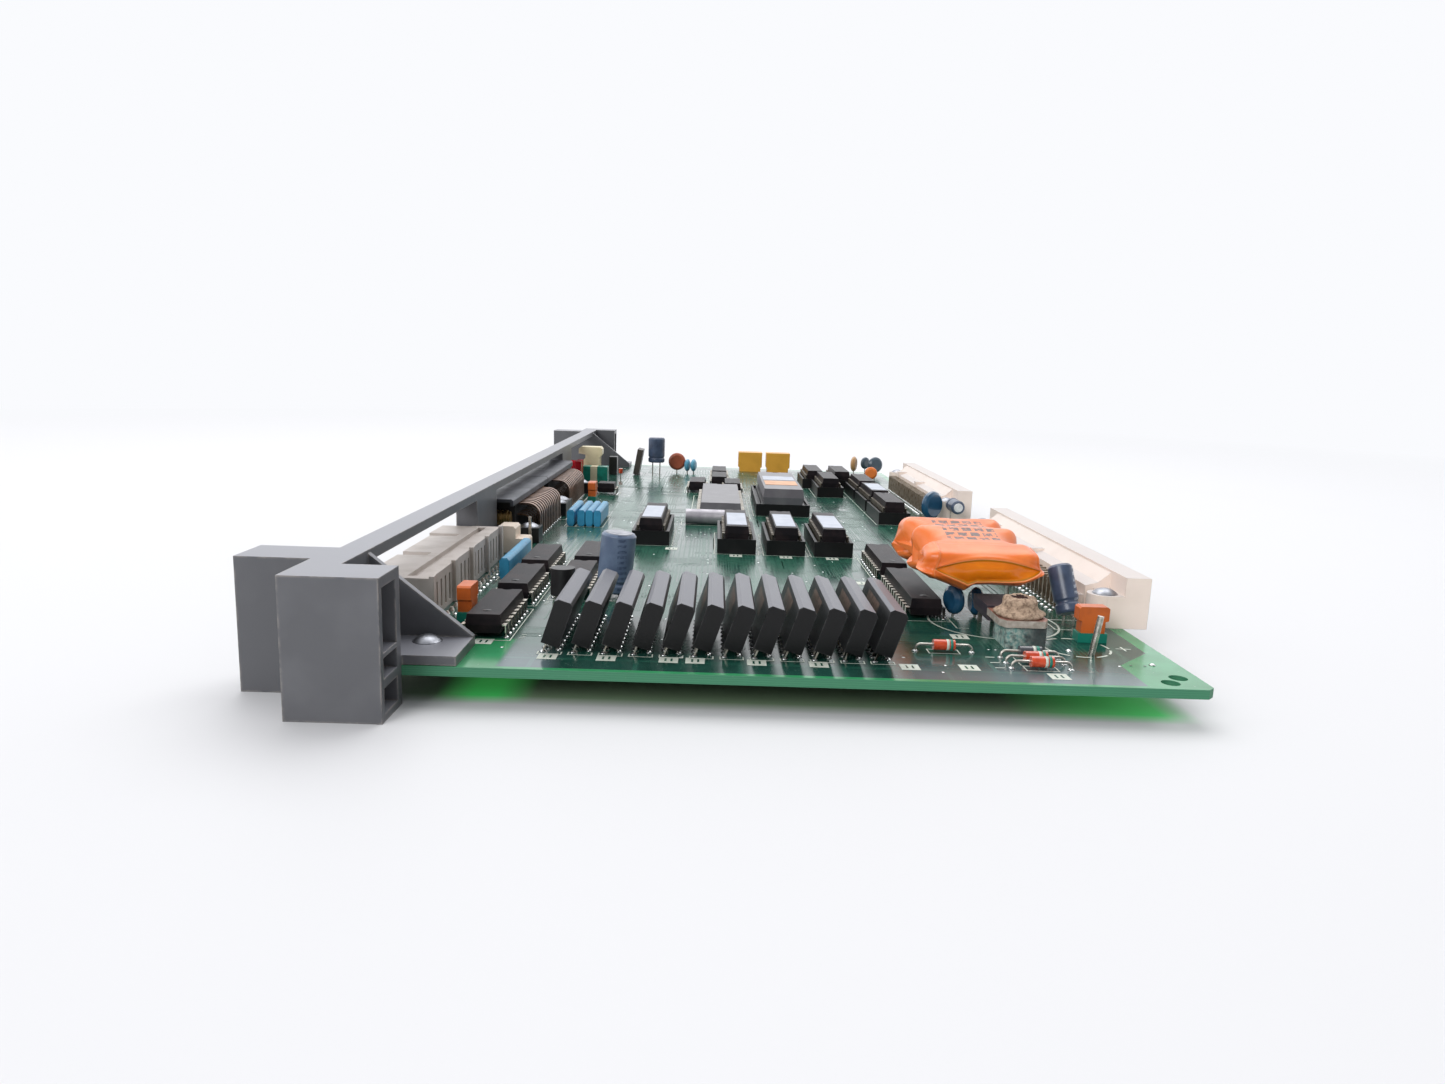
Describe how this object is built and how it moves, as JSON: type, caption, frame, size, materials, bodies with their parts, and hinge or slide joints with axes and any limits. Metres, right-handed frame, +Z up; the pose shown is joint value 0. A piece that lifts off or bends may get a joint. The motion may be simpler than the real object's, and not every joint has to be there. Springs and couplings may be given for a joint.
{
  "type": "rack card circuit board",
  "caption": "Populated rack card: green circuit board with a grey front panel, ivory backplane plugs, leaning memory chips, socketed chips and an orange backup battery.",
  "frame": {"origin": "middle of the card's outline, on the panel's underside", "axes": "+X from the front panel to the backplane plugs, +Y along the front panel, +Z up from the component side"},
  "size_m": [0.1616, 0.3364, 0.023],
  "materials": {
    "board_laminate": "glossy green solder mask",
    "panel_plastic": "worn grey moulding",
    "rivet_metal": "bright domes",
    "ivory_plastic": "ivory moulding",
    "contact_metal": "dull plated contacts",
    "header_plastic": "warm grey moulding",
    "tinned_metal": "tinned",
    "cream_plastic": "cream moulding",
    "shell_metal": "dark plated hood",
    "black_plastic": "black moulding",
    "screw_brass": "dull brass",
    "bronze_leads": "tarnished bronze",
    "teal_plastic": "teal moulding",
    "orange_plastic": "orange moulding",
    "red_lens": "red lens",
    "chip_black": "moulding compound",
    "chip_grey": "grey moulding compound",
    "label_paper": "plain labels",
    "network_blue": "dipped light blue",
    "network_dark": "dark dipped",
    "sleeve_blue": "blue-grey sleeve",
    "sleeve_navy": "navy sleeve",
    "film_yellow": "yellow box",
    "dipped_brown": "dipped brown",
    "dipped_blue": "dipped blue",
    "dipped_grey": "dipped grey",
    "dipped_light_blue": "dipped light blue",
    "can_metal": "drawn can",
    "battery_wrap": "shrink wrap",
    "tab_metal": "tarnished tab",
    "crust": "dried crust",
    "diode_glass": "red glass"
  },
  "bodies": {
    "root": {"circuit_board": "board_laminate", "front_panel": "panel_plastic", "panel_rivets": "rivet_metal", "plug_rivets": "rivet_metal", "port_rivets": "rivet_metal", "near_plug_housing": "ivory_plastic", "far_plug_housing": "ivory_plastic", "near_plug_contacts": "contact_metal", "far_plug_contacts": "contact_metal", "ribbon_header": "header_plastic", "ribbon_header_tails": "tinned_metal", "memory_leads": "tinned_metal", "logic_leads": "tinned_metal", "wide_leads": "tinned_metal", "socketed_leads": "tinned_metal", "component_wires": "tinned_metal", "regulator_leads": "tinned_metal", "test_pin": "tinned_metal", "post_pin": "tinned_metal", "header_end_block": "cream_plastic", "lamp_switch": "cream_plastic", "near_port_shell": "shell_metal", "far_port_shell": "shell_metal", "port_inserts": "black_plastic", "port_ears": "black_plastic", "chip_sockets": "black_plastic", "wide_socket": "black_plastic", "regulator_pad": "black_plastic", "small_relay": "black_plastic", "transistor": "black_plastic", "port_jackscrews": "screw_brass", "near_port_leads": "bronze_leads", "far_port_leads": "bronze_leads", "jumper_bases": "teal_plastic", "teal_selector": "teal_plastic", "jumper_plugs": "orange_plastic", "lamp_pair": "red_lens", "memory_chips": "chip_black", "logic_chips": "chip_black", "socketed_chips": "chip_black", "regulator_body": "chip_black", "wide_chip": "chip_grey", "wide_socketed_chip": "chip_grey", "chip_labels": "label_paper", "resistor_networks": "network_blue", "far_network": "network_dark", "tall_capacitor": "sleeve_blue", "plug_capacitor": "sleeve_navy", "end_capacitor": "sleeve_navy", "far_capacitor": "sleeve_navy", "film_capacitors": "film_yellow", "ceramic_disc": "dipped_brown", "blue_discs": "dipped_blue", "drop_capacitors": "dipped_grey", "small_capacitors": "dipped_light_blue", "crystal_can": "can_metal", "battery_pack": "battery_wrap", "regulator_tab": "tab_metal", "screw_lump": "crust", "diodes": "diode_glass"}
  },
  "joints": []
}
